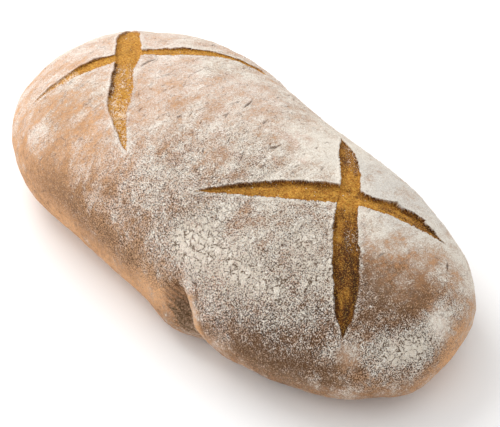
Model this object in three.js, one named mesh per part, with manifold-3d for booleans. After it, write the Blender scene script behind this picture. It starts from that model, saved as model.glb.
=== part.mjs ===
// Buttermilk bread loaf: an oblong, hand-shaped hearth loaf with a flat base,
// two diagonal cross scores on top and a pinched fold of dough low on one long side.
// Millimetres. +X runs along the loaf, +Z is up, and the origin is the middle of the base.
// The +X end is called the near end, the -X end the far one, and the fold is on the -Y side.
import * as THREE from "three";
import { mergeVertices } from "three/addons/utils/BufferGeometryUtils.js";
import Module from "manifold-3d";

// Driving dimensions of the dough body, before the swells of its outline
const BODY_LENGTH = 320;
const BODY_WIDTH = 185;
const BODY_HEIGHT = 87;
const SHOULDER_HEIGHT = 32; // level of the widest section
const UNDERSIDE_DEPTH = 37; // below the shoulder: the last 5 mm of it are the flat base
const TOP_ROUNDNESS = 2.1; // 2 is an ellipse, more is boxier
const UNDERSIDE_ROUNDNESS = 3.2;
const WIDTH_TAPER = -0.17; // change of width at the +X end, as a share
const HEIGHT_TAPER = -0.04; // change of height at the +X end, as a share
const TOP_LEAN = -0.085; // sideways shift of the top for each mm above the shoulder

// Swells of the hand-shaped outline: how many lobes go round it, how far they stand out at the
// loaf's ends and, in degrees from +X, where one of them points
const OUTLINE_SWELLS = [
  { lobes: 2, height: 17, towards: -21 }, // two opposite ends, turned off the long axis
  { lobes: 3, height: 6, towards: 56 },
  { lobes: 4, height: 9, towards: 41 }, // squarer shoulders
];

// Rolls and hollows left by the baker's hands: place, reach and rise out of the surface
const ROLLS_AND_HOLLOWS = [
  { at: [20, -80, 9], reach: 15, rise: 3.2 }, // roll of dough under the fold
  { at: [47, -79, 12], reach: 10, rise: -3.6 }, // pinch beside the roll
  { at: [34, -84, 35], reach: 10.5, rise: -5.5 }, // hollow of the fold
  { at: [51, -85, 33], reach: 8, rise: 1.6 }, // edge of the crust that folds over
  { at: [78, -78, 8], reach: 9, rise: -1.4 },
  { at: [103, -68, 12], reach: 16, rise: -0.6 },
  { at: [137, -58, 9], reach: 7, rise: 1.2 }, // nub on the base edge
  { at: [148, -43, 12], reach: 15, rise: -1.6 },
  { at: [156, -22, 14], reach: 13, rise: 2.3 }, // corner of the near end
  { at: [-64, -71, 10], reach: 22, rise: -2 },
  { at: [-7, 67, 63], reach: 40, rise: -2.5 }, // waist between the two crosses
  { at: [-132, 56, 62], reach: 22, rise: -2.1 },
];

// Middle line of the loaf, as a share of x up to half way to each end: the crust rises away from it
const CORE_SHARE = 0.9;

// Slow waves of the risen crust
const WAVE_HEIGHT = 0.45;
const WAVE_LENGTH = 46;

// Scores, each with its depth at the foot of the walls where it is widest,
// and its middle line: x, y and half the width of the opening
const SCORES = [
  // near cross, the cut from -Y to +Y
  {
    depth: 3.2,
    stations: [
      [7, -46.5, 0],
      [19, -37, 2.9],
      [37.5, -19.5, 6],
      [57, -1, 7.8],
      [69.5, 11.5, 7],
      [84, 20.5, 5.8],
      [98.5, 30.5, 6.4],
      [108, 33.5, 4.9],
      [121, 38, 0],
    ],
  },
  // near cross, the cut from +Y to -Y
  {
    depth: 3.2,
    stations: [
      [26, 53, 0],
      [38, 44, 4.2],
      [51, 33, 5.7],
      [64, 20, 6],
      [82, -3, 6.8],
      [100, -22, 7.8],
      [115, -38, 6.4],
      [121, -45, 4.7],
      [128, -54, 0],
    ],
  },
  // far cross, the cut from -Y to +Y
  {
    depth: 1.4,
    stations: [
      [-133, -44, 0],
      [-127.5, -28, 3.2],
      [-123.5, -10, 5.6],
      [-118, 4, 5.6],
      [-106, 22, 4.2],
      [-98, 30, 5],
      [-86, 44, 5.9],
      [-73, 56, 4.2],
      [-56, 66, 3],
      [-44, 70, 0],
    ],
  },
  // far cross, the cut from +Y to -Y
  {
    depth: 2.4,
    stations: [
      [-151, 54, 0],
      [-143, 47, 5.6],
      [-130, 33, 7.4],
      [-111, 15, 8],
      [-99, 0, 6.5],
      [-85, -15, 7.2],
      [-77, -24, 6.6],
      [-68, -32, 4.4],
      [-52, -44, 2],
      [-45, -48, 0],
    ],
  },
];
const SCORE_CROWN = 0.3; // share of the depth that the risen crumb takes back in the middle
const SCORE_FOOT = 0.14; // share of the half width that the walls slope in
const SCORE_STEPS = 26;

// Thin tears of the crust, written as the scores are
const TEARS = [
  [
    [-93, 8, 0],
    [-95, 13, 0.5],
    [-95, 19, 0.5],
    [-93, 24, 0],
  ],
  [
    [-2, 17, 0],
    [-3, 20, 0.5],
    [-4, 25, 0],
  ],
  [
    [-20, 19, 0],
    [-22, 26, 0.5],
    [-24, 33, 0],
  ],
  [
    [14, 3, 0],
    [17, 7, 0.5],
    [18, 13, 0],
  ],
  [
    [130, 28.5, 0],
    [132, 26, 0.5],
    [134.5, 23.5, 0],
  ],
];
const TEAR_DEPTH = 1.2;
const TEAR_STEPS = 6;

// The small flap of crust that stands up at the edge of the near cross
const FLAP = {
  at: [85.4, 29.4],
  along: [0.8, 0.6],
  length: 6.5,
  height: 1.5,
  thickness: 2.2,
  overhang: 0.2,
  sunk: 1,
  endShare: 0.15, // of the full height and thickness at its ends
  steps: 4,
};

const CUTTER_RISE = 5; // how far a cutter stands out of the crust
const LEAST_HALF_WIDTH = 0.06; // of a cutter at its pointed ends
const MESH_DETAIL = 20;
const MESH_SQUEEZE = 0.7; // crowds the triangles towards the loaf's middle
const MERGE_DISTANCE = 1e-4; // corners closer than this are one

const crustColour = new THREE.Color(0.72, 0.56, 0.44);

// One slow wave over the surface, the same for every point of the same place
function waveAt(p) {
  const k = (2 * Math.PI) / WAVE_LENGTH;
  const first = Math.sin(k * (p.x + 0.4 * p.y) + 1.3);
  const second = Math.sin(k * (1.3 * p.y - 0.5 * p.x + 0.6 * p.z) + 4.1);
  const third = Math.sin(k * (0.7 * p.x + 1.1 * p.z - 0.9 * p.y) + 2.2);
  return (WAVE_HEIGHT * (first + second + third)) / 3;
}

// Point of the dough body towards a unit direction, with the outline's swells, taper and lean
function bodyPoint(d) {
  const above = d.z >= 0;
  const roundness = above ? TOP_ROUNDNESS : UNDERSIDE_ROUNDNESS;
  const reach = above ? BODY_HEIGHT - SHOULDER_HEIGHT : UNDERSIDE_DEPTH;
  const flat = Math.hypot(d.x, d.y);
  const scale = (flat ** roundness + Math.abs(d.z) ** roundness) ** (-1 / roundness);
  const radius = flat * scale;
  const angle = Math.atan2(d.y, d.x);
  let swell = 1;
  for (const { lobes, height, towards } of OUTLINE_SWELLS) {
    const turn = lobes * (angle - THREE.MathUtils.degToRad(towards));
    swell += radius * (height / (BODY_LENGTH / 2)) * Math.cos(turn);
  }
  const along = d.x * scale * swell;
  const across = d.y * scale * swell;
  const up = reach * d.z * scale * (above ? 1 + HEIGHT_TAPER * along : 1);
  return new THREE.Vector3(
    (BODY_LENGTH / 2) * along,
    (BODY_WIDTH / 2) * across * (1 + WIDTH_TAPER * along) + TOP_LEAN * up,
    SHOULDER_HEIGHT + up,
  );
}

// Point of the crust: the body with its rolls, hollows and waves
function crustPoint(d) {
  const p = bodyPoint(d);
  const core = CORE_SHARE * THREE.MathUtils.clamp(p.x, -BODY_LENGTH / 4, BODY_LENGTH / 4);
  const out = new THREE.Vector3(p.x - core, p.y, p.z - SHOULDER_HEIGHT).normalize();
  let rise = waveAt(p);
  for (const feature of ROLLS_AND_HOLLOWS) {
    const distance = p.distanceTo(new THREE.Vector3(...feature.at));
    rise += feature.rise * Math.exp(-((distance / feature.reach) ** 2));
  }
  return p.addScaledVector(out, rise);
}

// Point of the crust straight above a place on the plan, and the crust's normal there
function crustAbove(x, y) {
  const step = 1e-4;
  const closeEnough = 1e-4;
  const longestMove = 0.2;
  const mostTurns = 30;
  const farthestStart = 0.98; // as a share of the way to the outline
  const d = new THREE.Vector3((2 * x) / BODY_LENGTH, (2 * y) / BODY_WIDTH, 0);
  d.clampLength(0, farthestStart);
  d.z = Math.sqrt(1 - d.lengthSq());
  const point = new THREE.Vector3();
  const normal = new THREE.Vector3();
  for (let turn = 0; turn < mostTurns; turn++) {
    const side = new THREE.Vector3(1, 0, 0).addScaledVector(d, -d.x).normalize();
    const other = new THREE.Vector3().crossVectors(d, side);
    point.copy(crustPoint(d));
    const bySide = crustPoint(d.clone().addScaledVector(side, step).normalize());
    const byOther = crustPoint(d.clone().addScaledVector(other, step).normalize());
    bySide.sub(point).divideScalar(step);
    byOther.sub(point).divideScalar(step);
    normal.crossVectors(bySide, byOther).normalize();
    const missX = x - point.x;
    const missY = y - point.y;
    if (Math.hypot(missX, missY) < closeEnough) break;
    const area = bySide.x * byOther.y - bySide.y * byOther.x;
    const moveSide = (missX * byOther.y - missY * byOther.x) / area;
    const moveOther = (bySide.x * missY - bySide.y * missX) / area;
    const damping = Math.min(1, longestMove / Math.hypot(moveSide, moveOther));
    d.addScaledVector(side, moveSide * damping);
    d.addScaledVector(other, moveOther * damping).normalize();
  }
  return { point, normal };
}

// Closed skin over rings of equal length, with a flat fan at each end
function skinRings(rings) {
  const count = rings[0].length;
  const last = rings.length - 1;
  const index = [];
  for (let i = 0; i < last; i++) {
    for (let j = 0; j < count; j++) {
      const a = i * count + j;
      const b = i * count + ((j + 1) % count);
      index.push(a, a + count, b, b, a + count, b + count);
    }
  }
  for (let j = 1; j < count - 1; j++) {
    index.push(0, j, j + 1);
    index.push(last * count, last * count + j + 1, last * count + j);
  }
  const geometry = new THREE.BufferGeometry().setFromPoints(rings.flat());
  return geometry.setIndex(index);
}

// Trough that a blade and the oven leave: two steep walls and a floor that rises in the middle
function openingGeometry(stations, depth, steps) {
  const middle = new THREE.CatmullRomCurve3(
    stations.map(([x, y, half]) => new THREE.Vector3(x, y, half)),
    false,
    "centripetal",
  );
  const widest = Math.max(...stations.map(([, , half]) => half));
  const rings = [];
  for (let i = 0; i <= steps; i++) {
    const at = middle.getPoint(i / steps);
    const along = middle.getTangent(i / steps);
    const across = new THREE.Vector2(-along.y, along.x).normalize();
    const half = Math.max(at.z, LEAST_HALF_WIDTH);
    const left = crustAbove(at.x + across.x * half, at.y + across.y * half);
    const right = crustAbove(at.x - across.x * half, at.y - across.y * half);
    const centre = crustAbove(at.x, at.y);
    const up = centre.normal;
    const deep = depth * Math.sqrt(half / widest);
    const leftFoot = left.point.clone().lerp(centre.point, SCORE_FOOT);
    const rightFoot = right.point.clone().lerp(centre.point, SCORE_FOOT);
    rings.push([
      left.point.clone().addScaledVector(up, CUTTER_RISE),
      left.point.clone(),
      leftFoot.addScaledVector(up, -deep),
      centre.point.clone().addScaledVector(up, -deep * (1 - SCORE_CROWN)),
      rightFoot.addScaledVector(up, -deep),
      right.point.clone(),
      right.point.clone().addScaledVector(up, CUTTER_RISE),
    ]);
  }
  return skinRings(rings);
}

// Wedge of torn crust, thin at both ends, that stands on the edge of a score
function flapGeometry() {
  const along = new THREE.Vector3(...FLAP.along, 0);
  const rings = [];
  for (let i = 0; i <= FLAP.steps; i++) {
    const share = i / FLAP.steps - 0.5;
    const full = FLAP.endShare + (1 - FLAP.endShare) * Math.cos(Math.PI * share);
    const foot = crustAbove(
      FLAP.at[0] + along.x * share * FLAP.length,
      FLAP.at[1] + along.y * share * FLAP.length,
    );
    const across = new THREE.Vector3().crossVectors(foot.normal, along).normalize();
    const sunk = foot.point.clone().addScaledVector(foot.normal, -FLAP.sunk);
    rings.push([
      sunk.clone().addScaledVector(across, -FLAP.overhang),
      foot.point.clone().addScaledVector(foot.normal, FLAP.height * full),
      foot.point.clone().addScaledVector(across, FLAP.thickness * full),
      sunk.clone().addScaledVector(across, FLAP.thickness / 2),
    ]);
  }
  return skinRings(rings);
}

// The whole crust as a closed skin, before the base is cut flat
function crustGeometry() {
  const geometry = new THREE.IcosahedronGeometry(1, MESH_DETAIL);
  const position = geometry.getAttribute("position");
  const direction = new THREE.Vector3();
  for (let i = 0; i < position.count; i++) {
    direction.fromBufferAttribute(position, i);
    direction.x *= MESH_SQUEEZE;
    direction.normalize();
    const p = crustPoint(direction);
    position.setXYZ(i, p.x, p.y, p.z);
  }
  return geometry;
}

const wasm = await Module();
wasm.setup();

function toSolid(geometry) {
  geometry.deleteAttribute("normal");
  geometry.deleteAttribute("uv");
  const merged = mergeVertices(geometry, MERGE_DISTANCE);
  const solid = new wasm.Manifold(
    new wasm.Mesh({
      numProp: 3,
      vertProperties: merged.getAttribute("position").array,
      triVerts: new Uint32Array(merged.index.array),
    }),
  );
  if (solid.volume() <= 0) {
    throw new Error("a shape is inside out");
  }
  return solid;
}

function toGeometry(solid) {
  const mesh = solid.getMesh();
  const geometry = new THREE.BufferGeometry();
  geometry.setAttribute("position", new THREE.BufferAttribute(mesh.vertProperties, 3));
  geometry.setIndex(new THREE.BufferAttribute(mesh.triVerts, 1));
  return geometry;
}

function loafGeometry() {
  const oven = new THREE.BoxGeometry(2 * BODY_LENGTH, 2 * BODY_WIDTH, 2 * UNDERSIDE_DEPTH);
  oven.translate(0, 0, -UNDERSIDE_DEPTH);
  let solid = toSolid(crustGeometry()).subtract(toSolid(oven));
  solid = solid.add(toSolid(flapGeometry()));
  for (const { depth, stations } of SCORES) {
    solid = solid.subtract(toSolid(openingGeometry(stations, depth, SCORE_STEPS)));
  }
  for (const stations of TEARS) {
    solid = solid.subtract(toSolid(openingGeometry(stations, TEAR_DEPTH, TEAR_STEPS)));
  }
  const geometry = toGeometry(solid);
  geometry.computeBoundingBox();
  const middle = geometry.boundingBox.getCenter(new THREE.Vector3());
  geometry.translate(-middle.x, -middle.y, -geometry.boundingBox.min.z);
  geometry.computeVertexNormals();
  return geometry;
}

const crust = new THREE.MeshStandardMaterial({
  color: crustColour,
  roughness: 0.85,
  metalness: 0,
});

const loaf = new THREE.Mesh(loafGeometry(), crust);
loaf.name = "loaf";

const bread = new THREE.Group();
bread.name = "buttermilk_bread";
bread.add(loaf);

export default bread;
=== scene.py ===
# Looks of the buttermilk bread loaf: one closed loaf mesh with its scores, fold and torn crust,
# and a scatter of flour grains. Lengths are millimetres in the frame of the dough body, until
# metres() turns them into the row's frame. +X runs along the loaf to its near end, +Z is up, and
# the fold of dough is on the -Y side.
import itertools
import math

import bpy
import numpy as np
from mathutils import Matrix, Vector


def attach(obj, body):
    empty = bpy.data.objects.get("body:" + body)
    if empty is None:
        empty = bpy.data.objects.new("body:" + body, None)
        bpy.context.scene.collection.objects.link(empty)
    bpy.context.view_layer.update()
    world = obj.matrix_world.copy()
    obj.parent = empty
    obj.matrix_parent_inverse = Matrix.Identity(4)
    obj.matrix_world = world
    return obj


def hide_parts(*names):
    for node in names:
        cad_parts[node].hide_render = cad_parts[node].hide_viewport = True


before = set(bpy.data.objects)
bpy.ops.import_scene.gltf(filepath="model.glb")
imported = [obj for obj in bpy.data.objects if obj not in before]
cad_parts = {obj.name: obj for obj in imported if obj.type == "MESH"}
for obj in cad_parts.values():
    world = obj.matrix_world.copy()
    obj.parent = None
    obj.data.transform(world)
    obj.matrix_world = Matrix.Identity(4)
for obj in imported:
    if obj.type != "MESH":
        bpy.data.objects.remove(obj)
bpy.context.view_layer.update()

# Dough body, with the values of the construction
BODY_LENGTH = 320
BODY_WIDTH = 185
BODY_HEIGHT = 87
SHOULDER_HEIGHT = 32
UNDERSIDE_DEPTH = 37
TOP_ROUNDNESS = 2.1
UNDERSIDE_ROUNDNESS = 3.2
WIDTH_TAPER = -0.17
HEIGHT_TAPER = -0.04
TOP_LEAN = -0.085
CORE_SHARE = 0.9
# Swells of the outline: lobes round it, height at the loaf's ends, and degrees from +X to one
OUTLINE_SWELLS = [(2, 17, -21), (3, 6, 56), (4, 9, 41)]
WAVE_HEIGHT = 0.45
WAVE_LENGTH = 46
# Direction and phase of each train of waves
WAVES = [((1, 0.4, 0), 1.3), ((-0.5, 1.3, 0.6), 4.1), ((0.7, -0.9, 1.1), 2.2)]
# Place, reach and rise of each roll or hollow
ROLLS_AND_HOLLOWS = [
    ((20, -80, 9), 15, 3.2), ((47, -79, 12), 10, -3.6), ((34, -84, 35), 10.5, -5.5),
    ((51, -85, 33), 8, 1.6), ((78, -78, 8), 9, -1.4), ((103, -68, 12), 16, -0.6),
    ((137, -58, 9), 7, 1.2), ((148, -43, 12), 15, -1.6), ((156, -22, 14), 13, 2.3),
    ((-64, -71, 10), 22, -2), ((-7, 67, 63), 40, -2.5), ((-132, 56, 62), 22, -2.1),
]

# Scores, each along its middle: x, y and half the width of the opening
NEAR_LONG_STATIONS = [
    (7, -46.5, 0), (19, -37, 2.9), (37.5, -19.5, 6), (57, -1, 7.8), (69.5, 11.5, 7),
    (84, 20.5, 5.8), (98.5, 30.5, 6.4), (108, 33.5, 4.9), (121, 38, 0),
]
NEAR_CROSS_STATIONS = [
    (26, 53, 0), (38, 44, 4.2), (51, 33, 5.7), (64, 20, 6), (82, -3, 6.8),
    (100, -22, 7.8), (115, -38, 6.4), (121, -45, 4.7), (128, -54, 0),
]
FAR_LONG_STATIONS = [
    (-133, -44, 0), (-127.5, -28, 3.2), (-123.5, -10, 5.6), (-118, 4, 5.6), (-106, 22, 4.2),
    (-98, 30, 5), (-86, 44, 5.9), (-73, 56, 4.2), (-56, 66, 3), (-44, 70, 0),
]
FAR_CROSS_STATIONS = [
    (-151, 54, 0), (-143, 47, 5.6), (-130, 33, 7.4), (-111, 15, 8), (-99, 0, 6.5),
    (-85, -15, 7.2), (-77, -24, 6.6), (-68, -32, 4.4), (-52, -44, 2), (-45, -48, 0),
]
# Where the left edge tears back in steps: start and end along the score, and how far
NEAR_LONG_NOTCHES = [(99, 113, 2.4), (113, 116, -1.3), (116, 127, 1.8), (128, 136, 1.2)]
FAR_LONG_NOTCHES = [(66, 78, 1.1), (79, 88, 1.2), (89, 101, 1.0)]
SCORE_CROWN = 0.3  # share of the depth that the risen crumb takes back in the middle
SCORE_FOOT = 0.14  # share of the half width that the walls slope in
LEAST_FOOT = 0.35
LIP_RISE = 0.45  # how far the torn edge of the crust curls up
LIP_REACH = 1.3
RIM_TUCK = 0.4  # how far the edge leans in over the wall
WALL_TUCK = 0.45  # how far the wall draws back under the edge
WALL_TUCK_BELOW = 0.6
WALL_TUCK_REACH = 0.3**0.5
SNAP_REACH = 0.24  # points closer than this to the torn outline are moved onto it
SCORE_MARGIN = 14  # no score changes the crust further than this from its middle line
LEAST_UP = 0.15  # upward share of the normal, below which the crust counts as a flank

# Tears of the crust that show one by one, along their middle
TEARS = [
    [(-93, 8), (-95, 13), (-95, 19), (-93, 24)],
    [(-2, 17), (-3, 20), (-4, 25)],
    [(-20, 19), (-22, 26), (-24, 33)],
    [(14, 3), (17, 7), (18, 13)],
    [(130, 28.5), (132, 26), (134.5, 23.5)],
]
TEAR_HALF_WIDTH = 0.5
TEAR_DEPTH = 1.2
TEAR_LIP = 0.15
TEAR_LIP_AT = 1  # distance from the middle of the tear
TEAR_LIP_REACH = 0.6
LEAST_TEAR = 0.05  # half the width, below which a tear has no lip
CRACK_MARGIN = 3
CRACK_LEAST_UP = 0.3
CRACK_GAP = 0.4  # how far the tears and cracks stay from the scores
# Seeded hairline cracks: the middle and spread of each crowd of them, and how many there are
CRACK_CROWDS = [((-10, 15), (48, 26), 46), ((40, -28), (22, 8), 12), ((60, -30), (45, 18), 16)]
CRACK_DIRECTION = (97, 20)  # degrees from +X, and their spread
CRACK_HALF_LENGTH = (1.2, 4.0)
CRACK_HALF_WIDTH = (0.15, 0.32)
CRACK_BEND = 0.5

# The small flap of crust that stands up at the edge of the near cross
FLAP_AT = np.array([88.5, 31.8])
FLAP_REACH = 2.6
FLAP_HEIGHT = 1.5

# Fold of dough low on the near side: the line where the crust laps over, and the way it runs.
# Places in it are measured over that line, from the hollow towards the crust that laps over it
FOLD_MIDDLE = np.array([42, -84.5, 37])
FOLD_ALONG = np.array([0.49, -0.10, -0.87])
FOLD_OVER = np.array([0.86, 0.15, 0.46])
FOLD_REACH = 26
FOLD_HALF_LENGTH = 17
FOLD_HALF_WIDTH = 30
FOLD_FACING = -0.2  # the fold has only points whose normals lean this far to -Y
POCKET_DEPTH = 3
POCKET_AT = -4
POCKET_REACH = 5
ROLL_RISE = 1.6
ROLL_AT = 2.4
ROLL_REACH = 2
SEAM_AT = 7  # a seam of the crust behind the roll
SEAM_LEAN = 0.15
SEAM_DEPTH = 0.9
WRINKLE_HEIGHT = 0.6
WRINKLE_TURN = 1.6  # radians of their wave in a millimetre
RIDGE_AT = 3  # painted highlight on the crust of the roll
RIDGE_REACH = 3
HOLLOW_AT = -9.5  # painted shade in the hollow under it, over its streaked crust
HOLLOW_REACH = 9
STREAK_SIZES = (1.3, 8)  # across the streaks and along them
STREAK_COSINE = 0.87  # the streaks in the hollow are turned 30 degrees from its edge
STREAK_SINE = 0.5

# Layers of relief: height, size and seed of the noise
FOLD_WOBBLE = [(1.2, 7, 31)]
CRUMB_LUMPS = [(0.3, 2.2, 1), (0.22, 1.1, 2), (0.3, 5.5, 3)]
CRUMB_STRANDS = [(0.25, 1, 4)]
LIP_UNEVENNESS = [(0.7, 2.5, 6)]
CRUST_LUMPS = [(0.4, 8, 21), (0.4, 19, 22), (0.24, 3.4, 23)]
LUMPS_FULL_FROM = 6  # height above the base
SCORE_SEED_GAP = 9.0  # keeps the noise of one score apart from the next one's

# Longest edge that the mesh may have in each zone
EDGE_CRUST = 2.4
EDGE_FAR_SIDE = 4
EDGE_BASE = 8
EDGE_FOLD = 1.2
EDGE_CRUMB = 1.3
EDGE_BESIDE_SCORE = 1.5
EDGE_RIM = 0.8
EDGE_CRACK = 0.7
EDGE_BESIDE_CRACK = 1.4
# How far from a torn outline or a crack those zones reach
REACH_BESIDE_SCORE = 4
REACH_RIM = 1.6
REACH_CRACK = 0.9
REACH_BESIDE_CRACK = 2
TOP_FROM = 40  # height above which the scores and cracks may lie
FAR_SIDE_FROM = 50  # of y less half of x
# After these passes only a few edges at the zone borders are still a little too long
REFINE_PASSES = 11

HASH_FACTORS = (374761393, 668265263, 1440662683, 974634777, 1274126177)
HASH_BITS = 0xFFFFFFFF
LINE_ROWS = 8000  # points that are measured against a line at a time


def unit(rows):
    return rows / np.linalg.norm(rows, axis=1, keepdims=True)


def smooth(low, high, value):
    """0 below low, 1 above high, and a soft step between."""
    t = np.clip((value - low) / (high - low), 0, 1)
    return t * t * (3 - 2 * t)


def hump(value, middle, reach, power=2):
    """1 at the middle, falling to 0 beyond the reach on both sides."""
    return np.exp(-((np.abs(value - middle) / reach) ** power))


def body_points(directions):
    """Points of the dough body towards unit directions, as the construction places them."""
    above = directions[:, 2] >= 0
    roundness = np.where(above, TOP_ROUNDNESS, UNDERSIDE_ROUNDNESS)
    reach = np.where(above, BODY_HEIGHT - SHOULDER_HEIGHT, UNDERSIDE_DEPTH)
    flat = np.hypot(directions[:, 0], directions[:, 1])
    scale = (flat**roundness + np.abs(directions[:, 2]) ** roundness) ** (-1 / roundness)
    radius = flat * scale
    angle = np.arctan2(directions[:, 1], directions[:, 0])
    swell = np.ones(len(directions))
    for lobes, height, towards in OUTLINE_SWELLS:
        turn = lobes * (angle - math.radians(towards))
        swell += radius * height / (BODY_LENGTH / 2) * np.cos(turn)
    along = directions[:, 0] * scale * swell
    across = directions[:, 1] * scale * swell
    up = reach * directions[:, 2] * scale * np.where(above, 1 + HEIGHT_TAPER * along, 1)
    x = BODY_LENGTH / 2 * along
    y = BODY_WIDTH / 2 * across * (1 + WIDTH_TAPER * along) + TOP_LEAN * up
    return np.stack([x, y, SHOULDER_HEIGHT + up], axis=1)


def wave_at(p):
    total = np.zeros(len(p))
    for direction, phase in WAVES:
        total += np.sin(2 * math.pi / WAVE_LENGTH * (p @ np.array(direction)) + phase)
    return WAVE_HEIGHT * total / len(WAVES)


def crust_points(directions):
    """Points of the crust: the body with its rolls, hollows and waves, flat at the base."""
    p = body_points(directions)
    core = CORE_SHARE * np.clip(p[:, 0], -BODY_LENGTH / 4, BODY_LENGTH / 4)
    out = unit(np.stack([p[:, 0] - core, p[:, 1], p[:, 2] - SHOULDER_HEIGHT], axis=1))
    rise = wave_at(p) + patchwork(p, ROLLS_AND_HOLLOWS)
    p = p + out * rise[:, None]
    p[:, 2] = np.maximum(p[:, 2], 0)
    return p


def patchwork(points, patches):
    """Sum of soft round patches, each with its place, reach and amount."""
    total = np.zeros(len(points))
    for place, reach, amount in patches:
        total += amount * hump(np.linalg.norm(points - place, axis=1), 0, reach)
    return total


def grain(p, size, seed):
    """Smooth noise from -1 to 1 with lumps of about that size, the same in each run."""
    for_x, for_y, for_z, for_seed, for_mixing = HASH_FACTORS
    q = np.asarray(p, float) / size + 100
    low = np.floor(q).astype(np.int64)
    t = q - low
    t = t * t * (3 - 2 * t)
    total = np.zeros(len(q))
    for corner in range(8):
        step = np.array([corner & 1, corner >> 1 & 1, corner >> 2])
        i, j, k = (low + step).T
        mixed = (i * for_x + j * for_y + k * for_z + seed * for_seed) & HASH_BITS
        mixed = ((mixed ^ (mixed >> 13)) * for_mixing) & HASH_BITS
        value = (mixed ^ (mixed >> 16)) / 2**31 - 1
        total += value * np.where(step, t, 1 - t).prod(axis=1)
    return total


def layers(points, rows):
    """Sum of noises, each with its height, size and seed."""
    return sum(height * grain(points, size, seed) for height, size, seed in rows)


class Line:
    """A line in plan with a half width: where a point lies along it and beside it."""

    def __init__(self, rows):
        self.points = rows[:, :2]
        self.half = np.maximum(rows[:, 2], 0)
        self.widest = self.half.max()
        self.tangent = unit(np.gradient(self.points, axis=0))
        self.left = np.stack([-self.tangent[:, 1], self.tangent[:, 0]], axis=1)
        step = np.linalg.norm(np.diff(self.points, axis=0), axis=1)
        self.arc = np.concatenate([[0], np.cumsum(step)])

    def near(self, xy, reach):
        """Numbers of the points in the line's box, widened by the reach."""
        low = self.points.min(axis=0) - reach
        high = self.points.max(axis=0) + reach
        return np.where(((xy > low) & (xy < high)).all(axis=1))[0]

    def locate(self, xy):
        """Arc length, signed offset to the left, distance and half width."""
        rows = np.empty((len(xy), 4))
        for part in np.array_split(np.arange(len(xy)), len(xy) // LINE_ROWS + 1):
            p = xy[part]
            gap = ((p[:, None, :] - self.points[None]) ** 2).sum(axis=2)
            nearest = gap.argmin(axis=1)
            away = p - self.points[nearest]
            ahead = (away * self.tangent[nearest]).sum(axis=1)
            side = (away * self.left[nearest]).sum(axis=1)
            arc = self.arc[nearest] + ahead
            over = np.maximum(0, np.maximum(-arc, arc - self.arc[-1]))
            half = np.interp(arc, self.arc, self.half)
            rows[part] = np.stack([arc, side, np.hypot(side, over), half], axis=1)
        return rows


def spline(stations, steps):
    """Centripetal curve through the stations, as rows like theirs."""
    p = np.array(stations, float)
    p = np.vstack([2 * p[0] - p[1], p, 2 * p[-1] - p[-2]])
    t = np.linspace(0, 1, steps, endpoint=False)[:, None]
    rows = []
    for i in range(1, len(p) - 2):
        before, here, after = [np.linalg.norm(p[i + k] - p[i + k - 1]) ** 0.5 for k in range(3)]
        step = p[i + 1] - p[i]
        start = (p[i] - p[i - 1]) / before - (p[i + 1] - p[i - 1]) / (before + here) + step / here
        end = step / here - (p[i + 2] - p[i]) / (here + after) + (p[i + 2] - p[i + 1]) / after
        start = start * here
        end = end * here
        square = (3 * step - 2 * start - end) * t**2
        cube = (start + end - 2 * step) * t**3
        rows.append(p[i] + start * t + square + cube)
    rows.append(p[-2:-1])
    return np.vstack(rows)


class Score(Line):
    """One cut of the blade, with a torn edge on each side."""

    STEPS = 24  # points of its middle line from one station to the next
    # Spacing and height of the finer and coarser raggedness of the torn edge
    RAGGEDNESS = [(0.9, 0.3), (4.5, 0.45)]
    FULLY_TORN_FROM = 2.5  # half width from which the edge strays in full

    def __init__(self, stations, depth, seed, painted_shade_side, notches=()):
        super().__init__(spline(stations, self.STEPS))
        self.depth = depth
        self.painted_shade_side = painted_shade_side  # the wall with painted shade under the torn edge, besides its toasting: 1 is left of the way it runs, -1 right
        self.notches = notches
        draw = np.random.default_rng(seed)
        self.ragged = [
            draw.uniform(-1, 1, (2, int(self.arc[-1] / spacing) + 4))
            for spacing, _ in self.RAGGEDNESS
        ]

    def stray(self, arc, side):
        """How far the torn edge strays from the smooth outline."""
        total = np.zeros(len(arc))
        for row, which in enumerate((side >= 0, side < 0)):
            for table, (spacing, height) in zip(self.ragged, self.RAGGEDNESS):
                knots = np.arange(table.shape[1]) * spacing
                total[which] += height * np.interp(arc[which], knots, table[row])
        for start, end, height in self.notches:
            here = (side >= 0) & (arc > start) & (arc < end)
            total += height * np.where(here, (arc - start) / (end - start), 0)
        return total

    def inside(self, located):
        """Depth inside the torn outline, less than 0 outside it."""
        arc, side, distance, half = located.T
        share = np.clip(half / self.FULLY_TORN_FROM, 0, 1)
        return half + share * self.stray(arc, side) - distance


NEAR_LONG, NEAR_CROSS, FAR_LONG, FAR_CROSS = range(4)
# The last number of each score picks the wall that gets painted shade
SCORES = [
    Score(NEAR_LONG_STATIONS, 3.2, 11, 1, NEAR_LONG_NOTCHES),
    Score(NEAR_CROSS_STATIONS, 3.2, 12, 1),
    Score(FAR_LONG_STATIONS, 1.4, 13, 1, FAR_LONG_NOTCHES),
    Score(FAR_CROSS_STATIONS, 2.4, 14, -1),
]


def plain_tears():
    """The tears that show one by one, pointed at both ends."""
    lines = []
    for places in TEARS:
        halves = [0] + [TEAR_HALF_WIDTH] * (len(places) - 2) + [0]
        lines.append(Line(spline([(x, y, half) for (x, y), half in zip(places, halves)], 8)))
    return lines


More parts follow.
